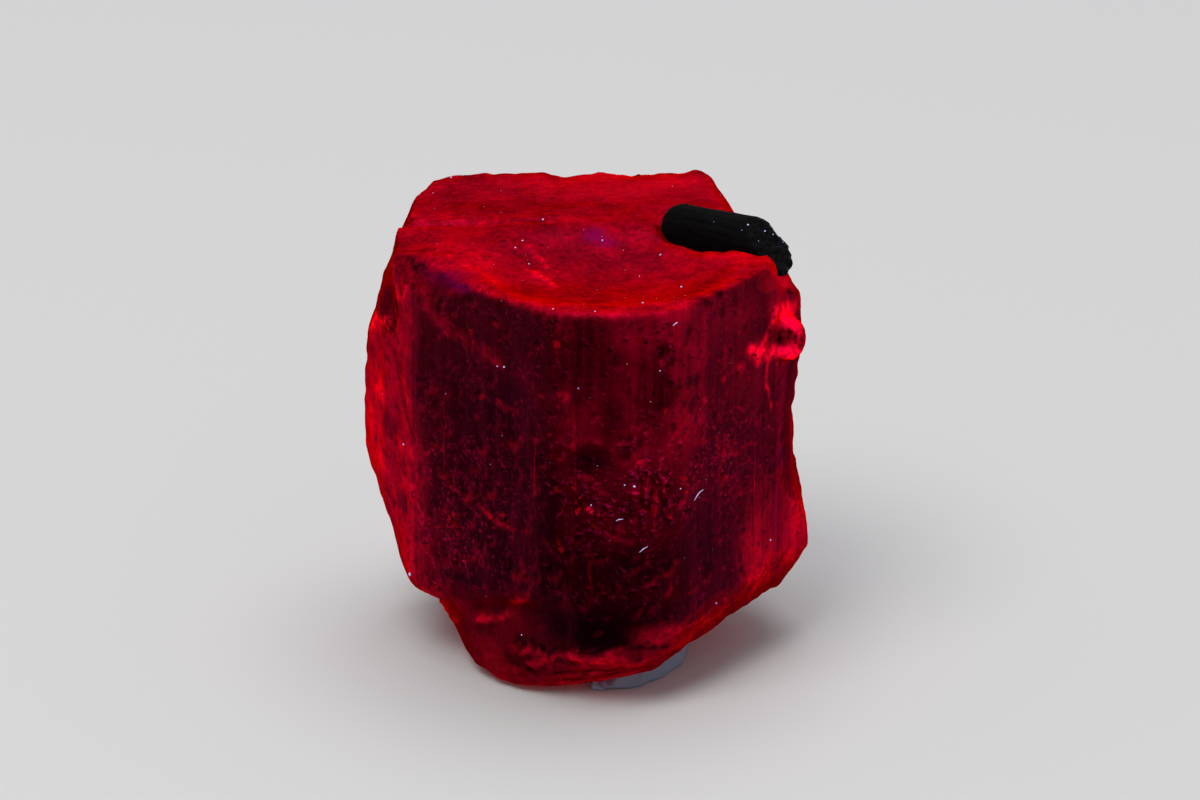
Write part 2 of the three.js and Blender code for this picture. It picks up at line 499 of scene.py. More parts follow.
class Nodes:
    """The node tree of one material."""

    def __init__(self, name):
        self.material = bpy.data.materials.new(name)
        self.material.use_nodes = True
        self.tree = self.material.node_tree
        self.tree.nodes.clear()
        self.output = self.tree.nodes.new("ShaderNodeOutputMaterial")

    def feed(self, socket, value):
        if isinstance(value, Wire):
            self.tree.links.new(value.socket, socket)
        elif socket.type == "RGBA" and len(value) == 3:
            socket.default_value = (*value, 1.0)
        else:
            socket.default_value = value

    def add(self, kind, settings=None, values=None, out=0):
        """A node of the given kind, its settings made first, then its sockets filled."""
        node = self.tree.nodes.new(kind)
        for name, value in (settings or {}).items():
            setattr(node, name, value)
        for key, value in (values or {}).items():
            self.feed(node.inputs[key], value)
        return Wire(self, node.outputs[out])

    def place(self):
        """Where a point is on the object, in metres."""
        return self.add("ShaderNodeTexCoord", out=3)

    def kept(self, name):
        """A value that the mesh keeps on its points."""
        return self.add("ShaderNodeAttribute", {"attribute_name": name}, out=2)

    def noise(self, where, size, detail=2.0, rough=0.5, drawn=None):
        """Noise from 0 to 1, with a size in mm. drawn squeezes the places each way first."""
        at = where.vector("MULTIPLY", drawn) if drawn else where
        values = {"Vector": at, "Scale": 1.0 / (size * MM), "Detail": detail, "Roughness": rough}
        return self.add("ShaderNodeTexNoise", {"noise_dimensions": "3D"}, values)

    def bump(self, height, depth):
        """A normal bent by a height from 0 to 1 that stands for a depth in mm."""
        return self.add("ShaderNodeBump", None, {"Height": height, "Distance": depth * MM, "Strength": 1.0})

    def surface(self, values):
        shader = self.add("ShaderNodeBsdfPrincipled", None, values)
        self.tree.links.new(shader.socket, self.output.inputs["Surface"])

    def inside(self, color, density):
        shader = self.add("ShaderNodeVolumeAbsorption", None, {"Color": color, "Density": density})
        self.tree.links.new(shader.socket, self.output.inputs["Volume"])


# The values that the crystal's skin keeps for its material. Glow is painted red glow, violet is a painted
# reflection of the lamp and dark is painted shade.
SKIN_VALUES = ("glow", "frost", "prism", "band", "etched", "violet", "dark")

# Emission colours, all painted light: unlit, the red glow painted on the body, the pink of painted highlights
# on specks and lips, and the violet of a painted reflection of the lamp.
UNLIT, EMBER, PINK, VIOLET_SHEEN = (0.0, 0.0, 0.0), (1.0, 0.0, 0.10), (1.0, 0.05, 0.42), (0.20, 0.0, 0.36)


def scapolite_material(settings):
    nodes = Nodes("scapolite_deep_red")
    place = nodes.place()
    glow, frost, prism, band, etched, violet, dark = (nodes.kept(name) for name in SKIN_VALUES)

    # Growth lines up the prism faces, ripples along the back band, and the grain of the breaks.
    lines = nodes.noise(place, 0.45, 4.0, 0.65, drawn=(1.0, 1.0, 0.035)).between(0.3, 0.7)
    ripples = nodes.noise(place, 0.16, 3.0, 0.6, drawn=(0.12, 1.0, 1.0)).between(0.25, 0.75)
    grain = nodes.noise(place, 0.20, 3.0, 0.62)
    height = lines * prism * 0.15 + ripples * band * 0.4 + grain * (frost * 0.9 + etched * 0.6)

    # Slow changes of the painted glow, then pebbles and crumbs on the breaks and clouds in the prism.
    broad = nodes.noise(place, 1.1)
    clouds = nodes.noise(place, 2.6, 4.0, 0.62).between(0.36, 0.64)
    pebbles = nodes.noise(place, 0.9, 4.0, 0.7).between(0.34, 0.66)
    crumbs = grain.between(0.25, 0.75)
    upright = (lines * 0.8 - 0.4) * (1.0 - etched) + clouds - 0.5 + (crumbs * 1.4 - 0.7) * etched
    rubble = crumbs * 1.3 - 0.65 + clouds * 0.5 - 0.25 + pebbles * 0.8 - 0.4
    texture = rubble * frost + upright * prism + 1.0
    streaks = (ripples * 0.5 - 0.25) * band + 1.0

    # Small hollows with painted shade in them, painted highlights in crescents along one side of them, and
    # painted pink glints on the etched places.
    shifted = place.vector("ADD", (0.04 * MM, 0.0, 0.08 * MM))
    flecks = nodes.noise(place, 0.30, 2.0, 0.6).between(0.56, 0.72)
    hollows = nodes.noise(shifted, 0.30, 2.0, 0.6).between(0.56, 0.72)
    pricks = nodes.noise(place, 0.52, 3.0, 0.6).between(0.58, 0.68)
    sparks = nodes.noise(place, 0.17, 2.0, 0.6).between(0.56, 0.70) * etched
    crescents = (flecks - hollows * 0.9).held() * (etched * 0.75 + prism * 0.10 + frost * 0.16)

    # The painted glow, darkened by painted shade in the hollows and the dark patches, then painted pink
    # highlights and the painted violet reflection over it.
    shine = glow * (broad * 0.8 + 0.6) * texture * streaks
    shine = shine * (1.0 - hollows * prism * 0.8) * (1.0 - dark * 0.7)
    ember = shine.held().mix(UNLIT, EMBER)
    ember = ((crescents * 0.25 + sparks * 0.27) * (1.0 - dark)).mix(ember, PINK)
    ember = violet.mix(ember, VIOLET_SHEEN)
    # Painted shade in the base colour: the transmitted red is darkened in the hollows, the pricks and the
    # dark patches.
    painted_dim = ((hollows * 0.6 + pricks * 0.6) * prism * (etched * 0.9 + 0.25) + dark).held()
    nodes.surface(
        {
            "Base Color": painted_dim.mix((0.80, 0.012, 0.035), (0.05, 0.001, 0.003)),
            "Roughness": frost * 0.34 + etched * 0.12 + (broad + grain) * 0.06 + 0.04,
            "IOR": settings.refraction,
            "Transmission Weight": 1.0,
            "Specular Tint": (0.06, 0.03, 0.06),
            "Coat Weight": 1.0,
            "Coat IOR": 1.0,
            "Coat Tint": (1.0, 0.16, 0.42),
            "Emission Color": ember,
            "Emission Strength": settings.glow,
            "Normal": nodes.bump(height, 0.06),
        }
    )
    nodes.inside(tuple(settings.absorption), settings.density)
    return nodes.material


def black_mineral_material(settings):
    nodes = Nodes("black_mineral")
    place = nodes.place()
    broken = nodes.kept("broken")
    grain = nodes.noise(place, 0.10, 4.0, 0.7)
    broad = nodes.noise(place, 0.6, 3.0)
    pale = tuple(2.4 * c for c in settings.color)
    nodes.surface(
        {
            "Base Color": (grain * 0.7 + broad * 0.3).between(0.4, 0.75).mix(tuple(settings.color), pale),
            "Roughness": (grain - 0.5) * 0.4 + 0.72 - broken * 0.25,
            "Specular IOR Level": 0.06,
            "Normal": nodes.bump(grain + broad * 0.4, 0.04),
        }
    )
    return nodes.material


def putty_material(settings):
    nodes = Nodes("putty")
    place = nodes.place()
    broad = nodes.noise(place, 1.2, 3.0)
    fine = nodes.noise(place, 0.15, 3.0)
    thumbed = tuple(0.78 * c for c in settings.color)
    nodes.surface(
        {
            "Base Color": broad.between(0.3, 0.75).mix(thumbed, tuple(settings.color)),
            "Roughness": 0.5 + fine * 0.2,
            "Subsurface Weight": 0.35,
            "Subsurface Radius": (0.6, 0.5, 0.5),
            "Subsurface Scale": 0.8 * MM,
            "Normal": nodes.bump(broad + fine * 0.3, 0.06),
        }
    )
    return nodes.material


# The flaws' emission is painted glow: they shine though they are no lamp.
def flaw_material(name, glow, roughness):
    nodes = Nodes(name)
    grain = nodes.noise(nodes.place(), 0.15)
    nodes.surface(
        {
            "Base Color": (0.55, 0.01, 0.04),
            "Roughness": grain * 0.3 + roughness,
            "Emission Color": grain.between(0.3, 0.7).mix(tuple(0.45 * c for c in glow), glow),
            "Emission Strength": 1.0,
        }
    )
    return nodes.material


# The dust's emission is painted glow: the bluish specks and fibres shine though they are no lamp.
def glowing_dust_material():
    nodes = Nodes("dust")
    grain = nodes.noise(nodes.place(), 0.06)
    color = grain.between(0.3, 0.7).mix((0.36, 0.27, 0.80), (0.78, 0.72, 0.98))
    nodes.surface(
        {
            "Base Color": color,
            "Roughness": grain * 0.2 + 0.7,
            "Emission Color": color,
            "Emission Strength": 0.35,
        }
    )
    return nodes.material


# ---- the crystal ----

# The CAD's edges are kept where its faces turn by more than this many degrees. Points of the net
# closer than these shares of its step are put on an edge, or joined to one another.
CREASE_ANGLE = 18.0
ON_EDGE, JOINED = 0.55, 0.22

# The brightest that the skin may glow.
MOST_GLOW = 1.2

# Where the straight cleavage step crosses the broken top.
STEP_Y = 2.65

# How brightly each part of the skin is painted with red glow, brightest on the faces that look up towards the
# lamp: the look of the surface, how far a surface may turn from it in degrees, and the glow. Later rows win.
FACE_GLOW = (
    (90, 0, 95, 0.08), (FRONT, 0, 4, 0.035), (FRONT_LEFT, 0, 4, 0.018), (FRONT_RIGHT, 0, 4, 0.075),
    (RIGHT, 0, 4, 0.012), (LEFT, 0, 4, 0.17), (BACK_LEFT, 0, 4, 0.12), (BACK, 0, 4, 0.07),
    (BACK_RIGHT, 0, 4, 0.1), (0, 90, 40, 0.255), (17, 37, 8, 0.2), (-5, 27, 8, 0.2),
    (-147, 36, 6, 0.06), (-33, -26, 6, 0.045), (-90, -40, 6, 0.066), (-125, -40, 6, 0.014),
    (-139, 8, 4, 0.03), (0, -90, 25, 0.1),
)

# Tall bands of painted glow down the front, as places across it in mm with the glow there, and how much of
# that glow there is at each height, most near the top.
BANDS = (
    (-6.4, 0.03), (-5.6, 0.012), (-3.0, 0.01), (-1.3, 0.022), (-1.0, 0.065), (-0.4, 0.052),
    (0.6, 0.065), (1.0, 0.1), (2.6, 0.1), (3.0, 0.16), (4.0, 0.13), (4.4, 0.06), (6.2, 0.04),
    (6.7, 0.04), (7.4, 0.008), (8.0, 0.02),
)
FADE = (
    (1.0, 0.05), (3.0, 0.05), (6.0, 0.135), (9.0, 0.37), (12.0, 0.88), (15.4, 1.0),
)

# Patches of painted glow and painted shade seen from the front: place across and up, half its width and
# height, and the glow added (below nought: the share of glow taken away, kept as painted shade). They reach
# PATCH_DEPTH into the crystal.
PATCH_DEPTH = 1.6
FRONT_PATCHES = (
    (-6.3, 3.9, 1.1, 2.2, 0.06), (-5.5, 4.6, 1.3, 1.3, 0.03), (-6.4, 7.0, 0.6, 2.5, 0.1),
    (-2.8, 11.7, 0.42, 0.42, -0.85), (-4.4, 10.4, 0.6, 0.7, -0.45), (-2.0, 9.6, 0.9, 0.6, -0.5),
    (0.85, 11.5, 0.38, 1.0, -0.6), (0.0, 9.9, 0.75, 0.6, -0.7), (-7.05, 12.9, 0.32, 0.55, -0.7),
    (6.3, 5.0, 0.8, 1.9, 0.33), (7.5, 4.7, 0.6, 1.5, 0.22), (5.8, 14.1, 1.2, 0.6, 0.05),
    (7.0, 13.9, 0.6, 0.5, 0.14), (-7.5, 7.6, 0.6, 1.8, 0.15), (4.1, 6.3, 1.0, 1.4, -0.8),
    (1.6, 5.6, 1.6, 0.8, -0.4), (0.6, 3.2, 2.2, 1.0, -0.7), (-1.3, 3.6, 1.1, 1.0, -0.6),
    (-2.0, 1.65, 0.6, 0.32, 0.22), (-3.4, 1.0, 0.9, 0.6, 0.03), (-3.7, 2.0, 0.7, 0.32, -0.5),
    (-4.6, 2.6, 0.9, 0.4, 0.05), (-6.5, 14.75, 0.45, 0.4, 0.11), (-7.35, 9.3, 0.3, 0.45, 0.22),
    (-7.05, 8.3, 0.22, 0.35, -0.5), (-7.3, 6.6, 0.25, 0.4, 0.2), (-6.75, 5.6, 0.22, 0.4, -0.5),
    (-7.65, 10.6, 0.22, 0.4, -0.45), (7.25, 13.2, 0.6, 0.28, 0.65), (-0.3, 3.0, 1.5, 0.6, -0.6),
    (2.6, 2.9, 0.9, 0.45, 0.2), (0.9, 1.8, 1.0, 0.35, 0.08), (3.2, 1.9, 0.6, 0.5, 0.06),
    (-4.6, 3.9, 0.6, 0.2, -0.6), (7.0, 12.4, 0.42, 0.38, -0.25),
)

# Patches of painted glow and painted shade seen from above: place across and back, half its width and depth,
# and the glow. They reach PATCH_DROP down.
PATCH_DROP = 1.2
TOP_PATCHES = (
    (-1.3, 1.8, 0.5, 0.5, -0.35), (0.1, 1.8, 0.5, 0.45, -0.45), (-0.7, 0.7, 0.9, 0.6, -0.3),
    (3.9, 5.0, 0.7, 0.8, -0.4), (0.0, 5.2, 9.0, 1.9, -0.31), (-5.6, 2.2, 1.3, 1.5, 0.07),
    (-3.8, 1.3, 1.2, 0.9, -0.16), (-4.85, -2.45, 0.95, 0.55, -0.62), (3.6, 0.4, 0.7, 0.4, 0.1),
    (5.3, -1.2, 1.3, 0.55, 0.1), (-4.6, 0.2, 1.0, 1.2, 0.08), (-4.0, -2.0, 1.8, 0.8, 0.06),
    (1.5, -4.8, 2.5, 1.0, 0.08), (0.8, -1.0, 1.6, 1.0, -0.02),
)

# Where a faint violet reflection of the lamp is painted on the skin, in the same way, and how much of it.
FRONT_SHEEN = (
    (-4.7, 15.15, 0.55, 0.22, 0.26), (-5.5, 15.0, 0.5, 0.25, 0.12), (6.95, 8.5, 0.06, 0.9, 0.26),
    (6.85, 5.7, 0.06, 1.1, 0.2),
)
TOP_SHEEN = (
    (0.25, 1.75, 0.42, 0.4, 0.45), (0.75, 1.35, 0.35, 0.28, 0.35),
)

# Lines seen from the front, painted as glow, and as shade where the glow is below nought: half its width, the
# glow and the rise in mm, then its path.
FRONT_LINES = (
    (0.3, 0.085, 0.03, (-6.0, 14.3), (-5.4, 13.6), (-4.3, 13.15), (-3.0, 12.85)),
    (0.08, 0.2, 0.05, (-3.25, 11.2), (-2.9, 11.05), (-2.6, 11.1)),
    (0.13, 0.26, 0.05, (-1.0, 12.3), (-0.8, 12.15)), (0.07, 0.02, 0.02, (-3.0, 15.2), (-2.95, 13.7)),
    (0.09, 0.06, 0.03, (-1.1, 15.2), (-1.1, 13.4)), (0.07, 0.05, 0.03, (-1.0, 10.6), (0.5, 10.6)),
    (0.09, 0.26, 0.04, (4.9, 13.2), (4.95, 12.5), (4.85, 11.9)),
    (0.08, 0.36, 0.04, (4.2, 11.6), (4.3, 11.4)), (0.07, 0.14, 0.03, (5.3, 13.7), (5.5, 13.5)),
    (0.08, 0.16, 0.05, (1.64, 8.75), (2.1, 9.03), (2.47, 8.44), (2.47, 7.66), (2.1, 7.46)),
    (0.07, 0.1, 0.03, (1.75, 8.5), (1.8, 7.9), (2.1, 7.6)),
    (0.09, 0.12, 0.04, (2.84, 9.0), (2.95, 8.3), (3.2, 8.0), (3.55, 7.9), (3.6, 8.5)),
    (0.06, 0.3, 0.02, (1.8, 9.75), (2.1, 9.65)), (0.07, 0.34, 0.02, (0.05, 8.0), (0.2, 7.9)),
    (0.1, 0.15, 0.04, (-3.9, 6.9), (-3.4, 6.6), (-2.8, 6.5)),
    (0.08, 0.14, 0.03, (-1.6, 6.6), (-1.3, 6.3), (-1.2, 5.9)),
    (0.07, 0.1, 0.03, (-0.3, 9.2), (0.3, 9.0), (0.5, 8.5)),
    (0.07, 0.1, 0.03, (0.5, 7.2), (1.0, 6.8), (1.6, 6.7)),
    (0.08, 0.12, 0.03, (3.9, 10.0), (4.6, 9.8), (5.0, 9.4)),
    (0.08, 0.14, 0.03, (4.6, 9.1), (5.3, 8.9), (5.9, 9.0)),
    (0.13, 1.0, 0.07, (6.8, 13.65), (6.5, 13.05), (6.37, 12.6)),
    (0.25, 1.35, 0.08, (6.8, 13.65), (7.2, 13.4), (7.5, 13.0), (7.75, 12.4), (7.5, 11.9)),
    (0.22, 1.35, 0.09, (5.86, 12.5), (6.5, 12.3), (7.0, 12.05), (7.5, 11.95)),
    (0.13, 0.4, 0.04, (6.1, 12.05), (6.6, 11.95), (7.1, 11.8)),
    (0.1, 0.22, 0.03, (5.3, 12.2), (5.6, 12.1)),
    (0.07, 0.42, 0.04, (6.45, 11.9), (6.5, 10.8), (6.6, 9.9)),
    (0.06, -0.6, -0.03, (6.95, 7.5), (6.95, 3.8)),
    (0.09, 0.4, 0.06, (-7.7, 11.4), (-7.3, 12.0), (-6.65, 13.5), (-6.5, 14.3)),
    (0.08, -0.75, -0.08, (-7.15, 11.8), (-6.9, 11.4), (-6.65, 9.8), (-6.4, 8.5)),
    (0.16, 0.35, 0.05, (-6.6, 10.6), (-6.5, 9.9)), (0.22, 0.45, 0.08, (-7.65, 12.6), (-7.55, 11.9)),
    (0.14, 0.4, 0.06, (-7.0, 14.6), (-6.85, 14.2), (-6.7, 13.7)),
    (0.12, -0.6, -0.05, (-6.75, 14.3), (-6.62, 13.9)), (0.16, 0.3, 0.05, (-7.35, 9.6), (-7.25, 8.9)),
    (0.1, -0.6, -0.05, (-7.3, 10.6), (-7.15, 9.9), (-7.1, 9.2)),
    (0.2, 0.25, 0.06, (-7.7, 8.2), (-7.65, 7.3)), (0.12, -0.55, -0.05, (-7.3, 7.4), (-7.1, 6.7)),
    (0.16, 0.25, 0.05, (-7.0, 6.0), (-6.8, 5.3)), (0.18, 0.22, 0.05, (-6.8, 8.3), (-6.7, 7.6)),
    (0.14, 0.25, 0.05, (-7.5, 6.2), (-7.4, 5.6)),
    (0.15, 0.21, 0.09, (-5.2, 0.8), (-4.6, 1.2), (-3.65, 2.3), (-2.9, 2.65), (-2.6, 3.5), (-2.15, 3.9)),
    (0.08, 0.12, 0.04, (-2.15, 3.9), (-1.9, 4.9), (-1.8, 5.6)),
    (0.1, 0.2, 0.04, (-6.3, 2.95), (-5.4, 2.85), (-4.9, 2.3), (-4.5, 1.9)),
    (0.12, -0.55, -0.03, (-5.9, 3.65), (-4.6, 3.95), (-3.2, 4.1)),
    (0.75, 0.07, 0.0, (7.9, 4.3), (6.9, 3.6), (5.2, 3.1), (4.0, 2.6)),
    (0.5, 0.05, 0.0, (4.0, 2.6), (2.8, 2.0), (1.2, 1.3), (-0.6, 0.9)),
    (0.15, 0.2, 0.04, (-2.5, 0.95), (-1.7, 1.5), (-1.1, 1.9), (-0.4, 1.95), (0.4, 1.8), (0.9, 2.25),
     (1.3, 2.45)),
    (0.13, -0.95, -0.05, (-2.3, 1.35), (-1.7, 1.7), (-1.1, 2.25), (-0.4, 2.3), (0.4, 2.15), (0.9, 2.6),
     (1.4, 2.75)),
    (0.19, -1.3, -0.12, (-2.5, 1.8), (-2.1, 2.1)), (0.16, -1.3, -0.1, (-1.95, 1.95), (-1.5, 2.05)),
    (0.19, -1.3, -0.12, (-2.75, 1.2), (-2.4, 1.15), (-2.1, 0.95)),
    (0.1, -0.85, -0.04, (-1.6, 0.9), (-0.2, 1.2), (1.0, 1.3)),
    (0.09, -0.8, -0.04, (-0.9, 0.6), (0.6, 0.85), (1.9, 1.4)),
    (0.14, 0.14, 0.03, (-2.5, 0.4), (-1.0, 0.3), (0.5, 0.5), (1.6, 1.0)),
    (0.14, -1.0, -0.06, (1.9, 2.5), (2.5, 2.35), (2.9, 2.2)),
    (0.09, 0.2, 0.04, (3.0, 2.6), (3.6, 2.9), (4.4, 3.1)),
)

# Lines seen from above, painted in the same way.
TOP_LINES = (
    (0.5, 0.0, -0.34, (4.3, 0.75), (5.2, 0.3), (5.9, -0.05)),
    (0.6, 0.02, -0.32, (3.2, 1.5), (5.2, 0.4), (7.0, -0.6)),
    (0.12, 0.42, 0.07, (-2.1, 0.7), (-1.8, 0.2), (-1.5, -0.4)),
    (0.15, 0.46, 0.09, (-1.95, -1.0), (-1.45, -1.6), (-1.05, -2.2)),
    (0.08, 0.2, 0.04, (-2.5, -0.2), (-2.2, -0.9)), (0.08, 0.22, 0.04, (-2.8, 0.9), (-2.5, 0.2)),
    (0.07, 0.2, 0.03, (-1.1, -0.6), (-0.6, -1.4)), (0.07, 0.16, 0.03, (0.2, -2.4), (1.4, -2.9)),
    (0.14, 0.16, 0.03, (-5.1, -0.6), (-3.8, -2.2), (-2.4, -3.9)),
    (0.07, 0.22, 0.05, (-5.1, 2.62), (-2.8, 2.62)), (0.06, 0.16, 0.04, (-2.0, 2.62), (-0.7, 2.62)),
)

# The places seen from the front that are most etched: across and up, half the width and the height.
ETCHED = ((3.4, 8.6, 3.4, 2.0), (-5.2, 5.5, 1.6, 2.8))

# Upright edges that have a soft turn: where they are in plan, the faces that meet there, the radius.
UPRIGHT_EDGES = (
    ((-0.98, -6.8), FRONT_LEFT, FRONT, 3.2), ((2.87, -6.8), FRONT, FRONT_RIGHT, 2.8),
    ((-6.36, -1.62), LEFT, FRONT_LEFT, 3.0),
)

# The shell-like breaks: a place in the middle of each, the way it looks, its ball's radius and its depth.
BITES = (
    ((-7.4, 0.2, 12.9), -165, 5, 2.6, 0.35), ((7.8, 0.6, 8.2), 0, 0, 10.0, 0.6),
    ((1.4, 6.8, 9.5), 92, 12, 9.0, 0.9), ((-6.0, 5.2, 6.0), 138, -8, 6.0, 0.6),
)

# The rod's axis from its sunk end, as it lies in its groove, its length in mm and the way its break looks.
ROD_FOOT = np.array([2.83, 2.56, 15.4])
ROD_ALONG = direction(-31, -1.5)
ROD_LENGTH = 5.3
ROD_BREAK_LOOK = direction(-31, 42)


class Skin:
    """The crystal's skin while it is worked on: how each point is raised, in mm, and how it looks."""

    def __init__(self, net, flat, gap, sharp):
        self.points = points_of(net)
        self.normals = normals_of(net)
        self.edges = edges_of(net)
        # The CAD's normal at each point, the distance to the nearest edge in mm and how sharp that edge is.
        self.flat, self.gap, self.sharp = flat, gap, sharp
        self.tree = tree_of(self.points)
        self.surface = Surface(net)
        self.mottle = Noise(71).layers(self.points, 0.9, 3, 0.6)
        self.speckle = np.clip(0.75 + 1.3 * Noise(73).layers(self.points, 0.35, 2, 0.7), 0, 2)
        self.swayed = self.points + 0.11 * drift(self.points, 75, 0.6, 1)
        # Per point: the rise, the painted glow, the painted violet reflection and the painted shade.
        self.rise, self.glow, self.violet, self.dark = np.zeros((4, len(self.points)))

        # Which part of the crystal each point belongs to, from 0 to 1.
        self.bites = on_bites(self.points)
        on_prism = np.any([self.facing(face, 0, 4) for face in PRISM], axis=0)
        self.on_prism = (on_prism & (np.sum(self.bites, axis=0) < 0.4)).astype(float)
        self.prism = self.soft(self.on_prism)
        self.top = self.soft(self.facing(0, 90, 40))
        self.band = self.top * smoothstep(STEP_Y - 0.1, STEP_Y + 0.2, self.points[:, 1])
        self.front = self.soft(flat @ direction(FRONT) > 0.1)
        self.left = self.soft(self.facing(LEFT, 0, 4))

    def soft(self, mask, rounds=3):
        return relaxed(mask, self.edges, rounds)

    def facing(self, azimuth, elevation, within):
        return self.flat @ direction(azimuth, elevation) > math.cos(math.radians(within))

    def wandered(self, values):
        """The same values with their borders made wavy, most of all low down."""
        reach = np.interp(self.points[:, 2], (0, 4, 13, 15), (0.55, 0.35, 0.2, 0.08))
        return values[nearest(self.tree, self.points + drift(self.points, 81, 1.3) * reach[:, None])[0]]

    def light(self, share, glow):
        """Adds painted glow, or takes a share of it away when glow is below nought and keeps that share as
        painted shade.
        """
        if glow < 0:
            self.glow *= 1 + glow * np.clip(share, 0, 1)
            self.dark -= glow * np.clip(share, 0, 1)
        else:
            self.glow += glow * share

    def patch(self, centre, reach):
        """1 at a place on the skin, falling to 0 past its reach each way."""
        off = (self.points - centre) / reach
        return np.exp(-((off**2).sum(1) ** 1.5)) * (1 + 0.5 * self.mottle)

    def patches(self, front, above):
        """Each patch of two tables, as its share of every point and its strength."""
        for x, z, half_x, half_z, strength in front:
            yield self.patch(self.surface.from_front(x, z)[0], (half_x, PATCH_DEPTH, half_z)), strength
        for x, y, half_x, half_y, strength in above:
            yield self.patch(self.surface.from_above(x, y)[0], (half_x, half_y, PATCH_DROP)), strength

    def line(self, path, width, glow, rise):
        """Paints glow or shade on the skin along a path, and raises or cuts it there, in uneven strength."""
        far = np.full(len(self.points), np.inf)
        for start, end in zip(path, path[1:]):
            along = end - start
            share = np.clip((self.swayed - start) @ along / max(along @ along, 1e-9), 0, 1)
            away = self.swayed - start - share[:, None] * along
            far = np.minimum(far, np.sqrt((away**2).sum(1)))
        share = bell(far / width) * self.speckle
        self.light(share, glow)
        self.rise += rise * share

    def pits(self, rng, chance, count, reach, depth, lit, tall=1.5):
        """Small hollows, with painted shade inside and a painted highlight along their lower lip."""
        picks = rng.choice(len(self.points), count, replace=False, p=chance / chance.sum())
        for pick in picks:
            centre, normal = self.points[pick], self.normals[pick]
            up = unit(np.array([0.0, 0.0, 1.0]) - normal * normal[2] + 1e-6)
            across = np.cross(up, normal)
            wide = rng.uniform(*reach)
            high = wide * rng.uniform(1.0, tall)
            tilt = rng.uniform(-0.5, 0.5)
            near = [found[1] for found in self.tree.find_range(Vector(centre), high * 2.0)]
            away = self.points[near] - centre
            u = (away @ across) / wide
            v = (away @ up) / high
            u, v = u + tilt * v, v - tilt * u
            r = np.hypot(u, v)
            hollow = np.exp(-(r**3))
            lip = bell((r - 1.15) / 0.35) * smoothstep(0.1, 0.9, (0.45 * u - 0.9 * v) / (r + 0.2))
            deep = depth * rng.uniform(0.4, 1.0)
            self.rise[near] -= deep * hollow
            self.rise[near] += deep * 0.35 * lip
            self.glow[near] *= 1 - 0.7 * hollow
            self.glow[near] += lit * rng.uniform(0.2, 1.0) * lip


def crystal_net(step):
    """The crystal's skin as an even net that keeps every face flat and every edge sharp."""
    net, solid = net_over(CRYSTAL_NODE, CRYSTAL_PIECE, step)
    spots, first, second = creases_of(*cad_surface(CRYSTAL_NODE), CREASE_ANGLE, step / 2)
    tree = tree_of(spots)
    seated = np.array([solid.find_nearest(p)[0] for p in points_of(net)])
    at, gap = nearest(tree, seated)
    on_edge = gap < step * ON_EDGE
    seated[on_edge] = spots[at[on_edge]]
    move_points(net, seated)
    weld(net, step * JOINED)
    flat = np.array([solid.find_nearest(p)[1] for p in points_of(net)])
    at, gap = nearest(tree, points_of(net))
    upright = np.maximum(np.abs(first[:, 2]), np.abs(second[:, 2])) < 0.05
    turn = np.degrees(np.arccos(np.clip((first * second).sum(1), -1, 1)))
    sharp = np.where(upright, 0.0, smoothstep(22, 50, turn))[at]
    return net, Skin(net, flat, gap, sharp)


def on_bites(points):
    """Which shell-like break each point lies in, as shares from 0 to 1."""
    shares = []
    for at, azimuth, elevation, radius, depth in BITES:
        out = direction(azimuth, elevation)
        centre = np.array(at) + out * (radius - depth)
        off = np.linalg.norm(points - centre, axis=1) - radius
        height = (points - centre) @ out + radius - depth
        shares.append(bell(off / 0.3) * smoothstep(0.15, -0.10, height))
    return shares


def bite_ripples(skin):
    """Curved waves that spread over each shell-like break from where the blow fell."""
    rise = np.zeros(len(skin.points))
    for (at, _, _, radius, depth), share in zip(BITES, skin.bites):
        start = np.array(at) + np.array([0, 0, math.sqrt(2 * radius * depth)])
        far = np.linalg.norm(skin.points - start, axis=1) + 0.35 * Noise(47).layers(skin.points, 2.2, 2)
        rise += share * 0.035 * np.sin(2 * np.pi * far / (0.45 + 0.09 * far)) * smoothstep(0.2, 1.2, far)
    return rise


def light_faces(skin):
    """The painted glow of each face and of the bands, with wavy borders, and a painted highlight along the
    rims.
    """
    x, y, z = skin.points.T
    for azimuth, elevation, within, glow in FACE_GLOW:
        skin.glow[skin.facing(azimuth, elevation, within)] = glow
    on_bands = skin.on_prism * (skin.flat @ direction(FRONT) > 0.45) * (x > -6.5)
    bands = np.interp(x, *np.transpose(BANDS)) * np.interp(z, *np.transpose(FADE))
    skin.glow = np.where(on_bands > 0, bands, skin.glow)
    skin.glow = relaxed(skin.wandered(skin.glow), skin.edges, 2)
    uneven = 1 + 0.8 * skin.mottle
    # Painted highlights along the sharp rims, and along the front rim of the top.
    rim = 0.12 * skin.sharp * bell(skin.gap / 0.16) * smoothstep(3.5, 6.0, z)
    skin.glow += rim * uneven * (0.35 + 0.65 * (1 - skin.prism))
    front_rim = skin.top * bell((skin.gap - 0.25) / 0.45) * (y < 0)
    skin.glow += 0.13 * front_rim * uneven


def mark(skin):
    """Paints the patches of glow and shade, the violet reflection of the lamp, and the lines of glow and
    shade that also raise or cut the skin.
    """
    for share, glow in skin.patches(FRONT_PATCHES, TOP_PATCHES):
        skin.light(share, glow)
    for share, sheen in skin.patches(FRONT_SHEEN, TOP_SHEEN):
        skin.violet += sheen * share
    for lines, find in ((FRONT_LINES, skin.surface.from_front), (TOP_LINES, skin.surface.from_above)):
        for width, glow, rise, *path in lines:
            skin.line([find(*spot)[0] for spot in path], width, glow, rise)


